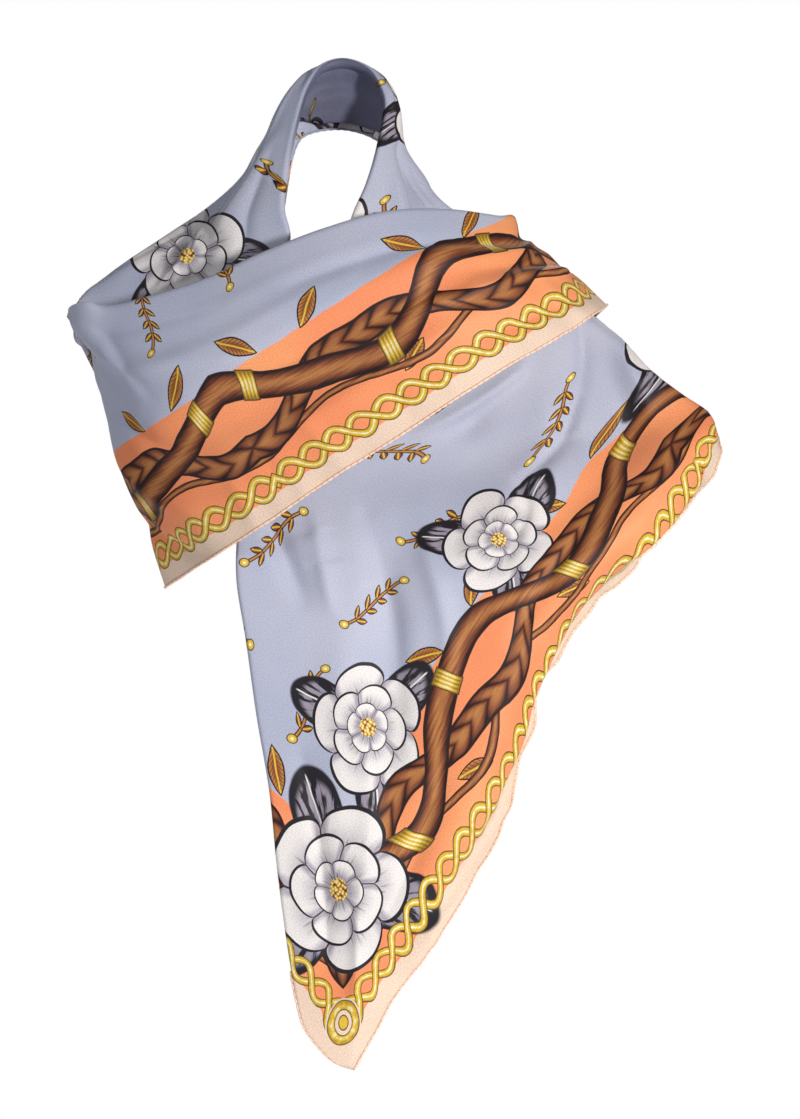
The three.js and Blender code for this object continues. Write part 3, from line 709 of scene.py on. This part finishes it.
# small twigs with gold berries in the field
tx, ty, chance, _, heart = field_of(drawn, (47, 20, 0), 124.0, 0.3)
c, s = (chance * turn).cos(), (chance * turn).sin()
tx, ty = tx * c + ty * s, ty * c - tx * s
bow = ty - 8 * (tx / 17).sin()
twig = print_silk.over(ground, bark_edge, abs(bow).below(2.2, 0.3) * abs(tx).below(37, 0.5))
twig = print_silk.over(twig, bark_light, abs(bow).below(1.1, 0.3) * abs(tx).below(36, 0.5))
lobe, rib, _ = leaf(tx % 14 - 7.8, abs(bow) - 5.6, 0.8, 7.4, 3.3)
leaves = abs(tx).below(28, 0.1)
twig = print_silk.over(twig, bark_edge, lobe.below(1.0, 0.04) * leaves)
twig = print_silk.over(twig, bark, lobe.below(0.66, 0.08) * leaves)
twig = print_silk.over(twig, gold, rib.below(0.7, 0.3) * lobe.below(0.6, 0.04) * leaves)
berry = ((abs(tx) - 38.5) ** 2 + bow * bow) ** 0.5
twig = print_silk.over(twig, gold_edge, berry.below(5.2, 0.3))
twig = print_silk.over(twig, gold, berry.below(4.1, 0.3))
twig = print_silk.over(twig, gold_glint, berry.below(1.5, 0.6))
art = print_silk.over(twig, ground, heart.below(178, 0.5))


def leaf_spray(ground, spots, period):
    """Leaves at spots (along the border, in from the hem, lean, length, width) of each period."""
    for q0, r0, lean, length, width in spots:
        at, rib, p = leaf(run % period - q0, depth - r0, lean, length, width)
        vein = abs((p + rib * 1.1) % 4.6 - 2.3)
        blade = print_silk.over(bark_light, bark, at.below(0.5, 0.3))
        blade = print_silk.over(blade, dye("5E3218"), vein.below(0.5, 0.3) * (1 - at.below(0.25, 0.2)))
        blade = print_silk.over(blade, gold, rib.below(0.9, 0.3))
        ground = print_silk.over(ground, bark_edge, at.below(1.02, 0.03))
        ground = print_silk.over(ground, blade, at.below(0.84, 0.04))
    return ground


art = leaf_spray(art, ((34, 164, 0.75, 25, 9), (92, 60, -0.5, 20, 7.5), (148, 160, 2.4, 23, 8.5)), 200.0)

# large blossoms, those whose heart lies clear of the border
px, py, chance, chance_2, heart = field_of(drawn, (40, 70, 0), 236.0, 0.42)
blooms = bloom(art, px, py, 60 + 20 * chance_2, chance * turn)
art = print_silk.over(blooms, art, heart.below(152, 0.5))

# two vines along the orange band, the thin one plaited, with long leaves
wave = (run * (turn / 300)).sin()
grain = print_silk.noise(print_silk.join(run * 0.03, depth * 0.4), 1.0, 3.0)


def vine(ground, centre, half, plait, ties=0):
    """A vine, plaited or not, at a depth in from the hem, bound by a gold tie every so often."""
    away = depth - centre
    at = abs(away) / half
    if plait:
        strand = (run + 1.5 * abs(away)) % plait / plait
        tone = at ** 2 * 0.45 + abs(strand - 0.5) ** 3 * 5.5 + grain * 0.3 - 0.05
    else:
        tone = at ** 2 * 0.8 + grain * 0.75 - 0.24
    wood = tone.ramp((0.05, dye("BC7E46")), (0.3, dye("8E5230")), (0.58, dye("5C2C1A")), (0.84, bark_edge))
    laid = print_silk.over(ground, bark_edge, at.below(1.16, 0.03))
    laid = print_silk.over(laid, wood, at.below(0.94, 0.04))
    if ties:
        band_at = abs((run + depth * 0.25) % ties - ties / 2)
        laid = print_silk.over(laid, gold_edge, band_at.below(9.5, 0.4) * at.below(1.26, 0.03))
        band_gold = (abs(band_at % 4.2 - 2.1) / 5 + at ** 2 * 0.5 + grain * 0.3 - 0.12).ramp(
            (0.05, gold_glint), (0.3, gold), (0.75, dye("8D6A22")))
        laid = print_silk.over(laid, band_gold, band_at.below(8.4, 0.3) * at.below(1.16, 0.03))
    return laid


art = vine(art, 64 + 10 * (run * (turn / 187) + 1.0).sin(), 3.6, 0)
art = vine(art, 92 - 24 * wave + 5 * (run * (turn / 118) + 2.1).sin(), 12.5, 27.0)
art = vine(art, 108 + 27 * wave + 6 * (run * (turn / 134) + 0.7).sin(), 14.0, 0, 150.0)

# a blossom fills each corner, and a gold ring joins the cord there
art = bloom(art, x - 121, y - 116, 80.0, 0.5)

# the gold cord: two strands twisted along the margin
cord_depth, cord_reach, cord_pitch = 29.5, 10.5, 56
phase = run * (turn / cord_pitch)
swing, going = phase.sin() * cord_reach, phase.cos()
thin = 1 / (1 + (going * (cord_reach * turn / cord_pitch)) ** 2) ** 0.5
strands = [abs(depth - cord_depth - swing) * thin, abs(depth - cord_depth + swing) * thin]
first_on_top = 1 - going.below(0, 0.001)
hatch = print_silk.noise(print_silk.join(run * 0.12, depth * 0.12), 1.4, 3.0)
for above in (0, 1):
    share = first_on_top if above else 1 - first_on_top
    at = strands[0] * share + strands[1] * (1 - share)
    metal = (at / 3.9 + hatch * 0.7 - 0.35).ramp((0.02, gold_glint), (0.26, gold), (0.7, dye("C9A42A")),
                                                (0.95, dye("8D7022")))
    art = print_silk.over(art, gold_edge, at.below(4.2, 0.3))
    art = print_silk.over(art, metal, at.below(3.4, 0.3))

ring_at = 31
corner = ((x - ring_at) ** 2 + (y - ring_at) ** 2) ** 0.5
art = print_silk.over(art, peach, corner.below(19.5, 0.4).most(run.below(26, 0.4)))
art = print_silk.over(art, gold_edge, abs(corner - 13.5).below(4.4, 0.3))
art = print_silk.over(art, (hatch * 1.2 - 0.3 + abs(corner - 12.5) / 9).ramp((0.1, gold_glint), (0.4, gold),
                      (0.8, dye("B28F24"))), abs(corner - 13.5).below(3.5, 0.3))
art = print_silk.over(art, gold_edge, corner.below(5.6, 0.3))
art = print_silk.over(art, gold, corner.below(4.6, 0.5))

# painted shade: the face inside the neck band is darkened in its colour where it lies in the other layer's
# shadow
inner = print_silk.node("ShaderNodeAttribute", {"attribute_name": "inner"}, {}, 2)
art = print_silk.shaded(art, dye("8E8C9B"), inner)

# the twill's fine diagonal ribs and the silk's uneven yarn
slub = print_silk.noise(flat_mm, 0.9, 3.0)
art = print_silk.shaded(art, dye("DAD9DC"), slub.below(0.5, 0.2))
print_silk.wear("Base Color", art)
rib_pitch = 0.9
twill = (u + v) * (turn / rib_pitch)
relief = slub * 0.6 + twill.sin() * 0.12
print_silk.wear("Normal", print_silk.node("ShaderNodeBump", {}, {
    "Strength": 0.25, "Distance": 0.0006, "Height": relief}))

wrap = lay_silk("silk_wrap", 0, row_at["front_0"], 6.2, 112)
crossing = lay_silk("silk_crossing", row_at["front_0"], last_row, 5.5, 84)
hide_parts("hanging_end", "right_shoulder", "neck_band", "left_shoulder")
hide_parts("cross_front", "thrown_end")
for piece in (wrap, crossing):
    piece.data.materials.append(print_silk.material)
    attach(piece, "root")

# ------------------------------------------------------------------ the rolled hem
# The raw edge is rolled over towards the face by hand and slip-stitched about every 7 mm, which
# leaves a thin plump roll that dips at each stitch. It runs round all four sides of the square.
hem_silk = Finish("rolled_hem_silk", 0.45, 0.3)
hem_mm, hem_round = hem_silk.node("ShaderNodeUVMap", {"uv_map": "hem"}, {}).parts()
stitch_step = 6.8
stitch = (hem_mm * (turn / stitch_step)).cos()
thread = hem_silk.noise(hem_silk.join(hem_mm * 0.09, hem_round * 3), 1.0, 3.0)
rolled = hem_silk.over(dye("EFCDB4"), dye("E2AE90"), thread.below(0.5, 0.15) * 0.6)
rolled = hem_silk.over(rolled, dye("C98F70"), (-stitch).below(-0.82, 0.12) * 0.7)
# under the neck band the margin is turned in, and the edge there is a plain fold of the field
nape_mm, nape_reach = 1270, 88
rolled = hem_silk.over(rolled, dye("A3A7B8"), abs(hem_mm - nape_mm).below(nape_reach, 4))
hem_silk.wear("Base Color", rolled)
hem_silk.wear("Normal", hem_silk.node("ShaderNodeBump", {}, {
    "Strength": 0.4, "Distance": 0.0004, "Height": thread + stitch * 0.2}))


def roll_hem(name, places, edge, out, normal, radius=1.25):
    """A roll along an edge in metres; its stitches pinch it and the cloth swells between them."""
    length = np.concatenate([[0], np.cumsum(np.linalg.norm(np.diff(edge, axis=0), axis=1))])
    ring_step = 0.0017
    stations = int(length[-1] / ring_step)
    spot = np.linspace(0, length[-1], stations + 1)
    edge, out, normal = (np.stack([np.interp(spot, length, rows[:, n]) for n in range(3)], -1)
                         for rows in (edge, out, normal))
    mm = spot * 1000
    pinch = np.cos(turn * mm / stitch_step + 0.8 * np.sin(mm / 37)) ** 3
    swell = 1 - 0.17 * pinch + 0.07 * np.sin(mm / 13)
    swell[:2] *= 0.75
    swell[-2:] *= 0.75
    sides = 9
    bm = bmesh.new()
    bmesh.ops.create_grid(bm, x_segments=sides, y_segments=stations, size=0.5)
    layer = bm.loops.layers.uv.new("hem")
    for v in bm.verts:
        i, j = round((v.co.x + 0.5) * sides), round((v.co.y + 0.5) * stations)
        angle = turn * i / sides
        fat = radius / 1000 * swell[j]
        for loop in v.link_loops:
            loop[layer].uv = (mm[j], i / sides)
        v.co = (edge[j] + out[j] * fat * (0.55 + math.cos(angle))
                + normal[j] * fat * (0.25 + math.sin(angle)))
    bmesh.ops.remove_doubles(bm, verts=bm.verts, dist=1e-6)
    ends = [e for e in bm.edges if e.is_boundary]
    bmesh.ops.holes_fill(bm, edges=ends)
    bmesh.ops.recalc_face_normals(bm, faces=bm.faces)
    mesh = bpy.data.meshes.new(name)
    bm.to_mesh(mesh)
    bm.free()
    mesh.shade_smooth()
    mesh.materials.append(hem_silk.material)
    piece = bpy.data.objects.new(name, mesh)
    bpy.context.scene.collection.objects.link(piece)
    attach(piece, "root")
    return piece


hems = {}
for name in ("silk_wrap", "silk_crossing"):
    places, hem_edge, hem_out, hem_face, fold_edge, fold_out, fold_face = edges[name]
    hems[name] = [roll_hem(name + "_hem", places, hem_edge, hem_out, hem_face)]
    # the second side's hem shows along the fold near each corner
    near_tip = places < row_at["corner_4"] if name == "silk_wrap" else places > row_at["back_5"]
    hems[name].append(roll_hem(name + "_tip_hem", places[near_tip], fold_edge[near_tip],
                               fold_out[near_tip], fold_face[near_tip]))
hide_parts("hanging_end_hem", "right_shoulder_hem", "neck_band_hem",
            "left_shoulder_hem")
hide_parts("cross_front_hem", "thrown_end_hem")

# ------------------------------------------------------------------ floor, light and camera
# A pale floor in a white studio: a small key from the right front, a wide, cooler fill from the left
# and a light behind. The camera stands level in front, far away, as the photograph was taken.
bm = bmesh.new()
bmesh.ops.create_circle(bm, cap_ends=True, segments=96, radius=1.3)
bmesh.ops.translate(bm, verts=bm.verts, vec=(0, 0, -1.1))
floor_mesh = bpy.data.meshes.new("floor")
bm.to_mesh(floor_mesh)
bm.free()
floor = bpy.data.objects.new("floor", floor_mesh)
bpy.context.scene.collection.objects.link(floor)
floor_paint = bpy.data.materials.new("floor_paint")
floor_paint.use_nodes = True
for socket, value in (("Base Color", (0.9, 0.9, 0.9, 1)), ("Roughness", 0.8),
                      ("Emission Color", (1, 1, 1, 1)), ("Emission Strength", 0.45)):
    floor_paint.node_tree.nodes["Principled BSDF"].inputs[socket].default_value = value
floor_mesh.materials.append(floor_paint)

scene = bpy.context.scene
scene.view_settings.view_transform = "Standard"
world = bpy.data.worlds.new("studio")
world.use_nodes = True
scene.world = world
tree = world.node_tree
background = tree.nodes["Background"]
background.inputs["Color"].default_value = (1, 1, 1, 1)
# the surround is white to the camera and dim to the silk, so that the lights shape the folds
seen = tree.nodes.new("ShaderNodeLightPath")
strength = tree.nodes.new("ShaderNodeMapRange")
strength.inputs["To Min"].default_value = 0.13
strength.inputs["To Max"].default_value = 1.0
tree.links.new(seen.outputs["Is Camera Ray"], strength.inputs["Value"])
tree.links.new(strength.outputs["Result"], background.inputs["Strength"])


def soft_light(name, place, aim, size, power, colour):
    data = bpy.data.lights.new(name, "AREA")
    data.shape, data.size, data.energy, data.color = "DISK", size, power, colour
    light = bpy.data.objects.new(name, data)
    light.location = place
    light.rotation_euler = (Vector(aim) - Vector(place)).to_track_quat("-Z", "Y").to_euler()
    scene.collection.objects.link(light)


soft_light("key", (1.9, -2.55, 0.1), (0.03, -0.05, -0.42), 0.4, 99, (1, 0.99, 0.97))
soft_light("fill", (-2.3, -2.3, 0.7), (0, -0.05, -0.28), 1.1, 30, (0.92, 0.95, 1))
soft_light("rear", (-0.4, 3.0, 0.6), (0, 0, -0.4), 1.6, 26, (1, 1, 1))

lens_distance, picture_height = 9.0, 1.0742
camera_data = bpy.data.cameras.new("camera")
camera_data.lens = 36 * lens_distance / picture_height
camera = bpy.data.objects.new("camera", camera_data)
camera.location = (0.0595, -0.12 - lens_distance, -0.4507)
camera.rotation_euler = (math.pi / 2, 0, 0)
camera_data.clip_end = 100
scene.collection.objects.link(camera)
scene.camera = camera
